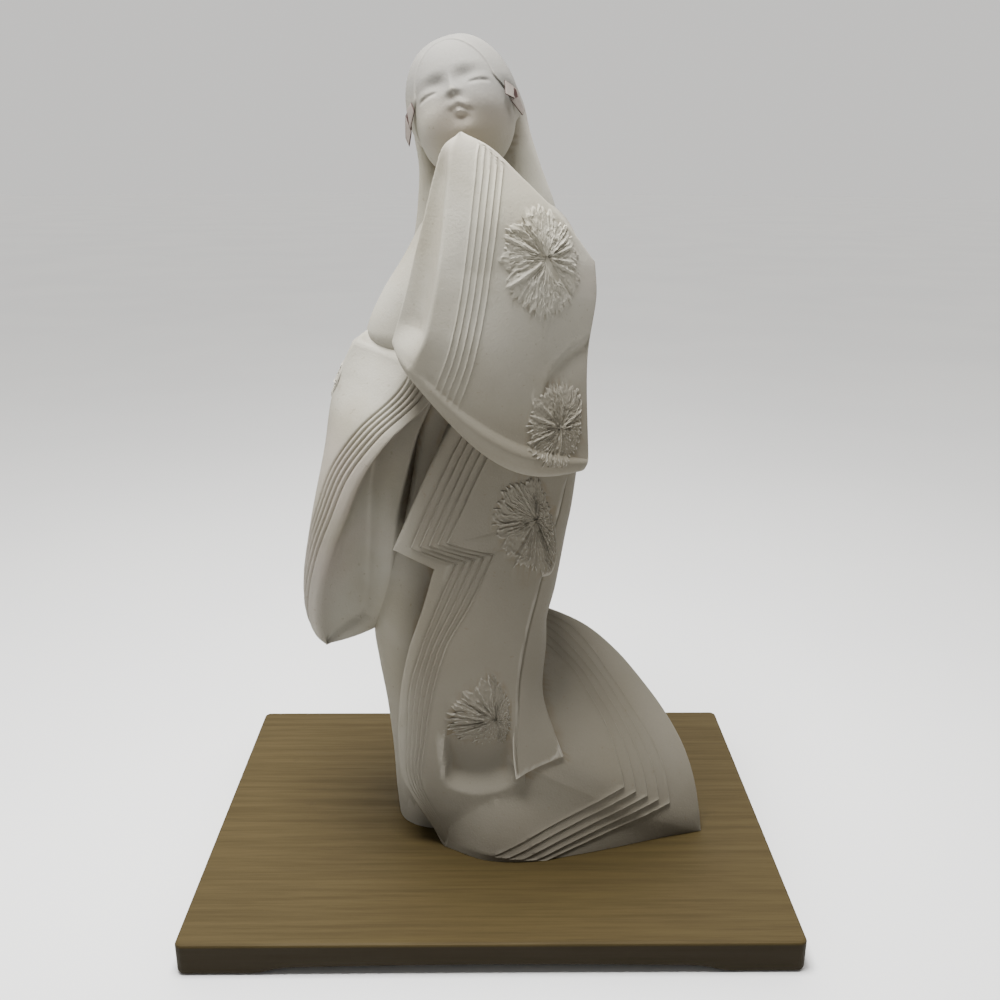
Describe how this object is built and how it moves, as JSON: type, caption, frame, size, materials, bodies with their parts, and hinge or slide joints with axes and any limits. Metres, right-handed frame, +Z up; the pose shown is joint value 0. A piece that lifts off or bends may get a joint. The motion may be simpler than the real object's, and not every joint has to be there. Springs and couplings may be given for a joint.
{
  "type": "hakata doll",
  "caption": "Clay figure of a long-haired woman in a long-sleeved kimono, one sleeve raised to the chin, standing on a low wooden board.",
  "frame": {"origin": "centre of the board's underside, on the surface that the doll stands on", "axes": "+Z up, -Y towards the viewer that the figure faces, +X to the viewer's right, along the board's length"},
  "size_m": [0.3, 0.21, 0.4187],
  "materials": {
    "wood": "satin, olive brown with soft streaks along the length",
    "clay": "matt unglazed clay, warm greyish white with a fine grain",
    "ribbon": "matt, pinkish white with dark red inner folds"
  },
  "bodies": {
    "root": {"board": "wood", "figure": "clay", "hair_ribbon_right": "ribbon", "hair_ribbon_left": "ribbon"}
  },
  "joints": []
}
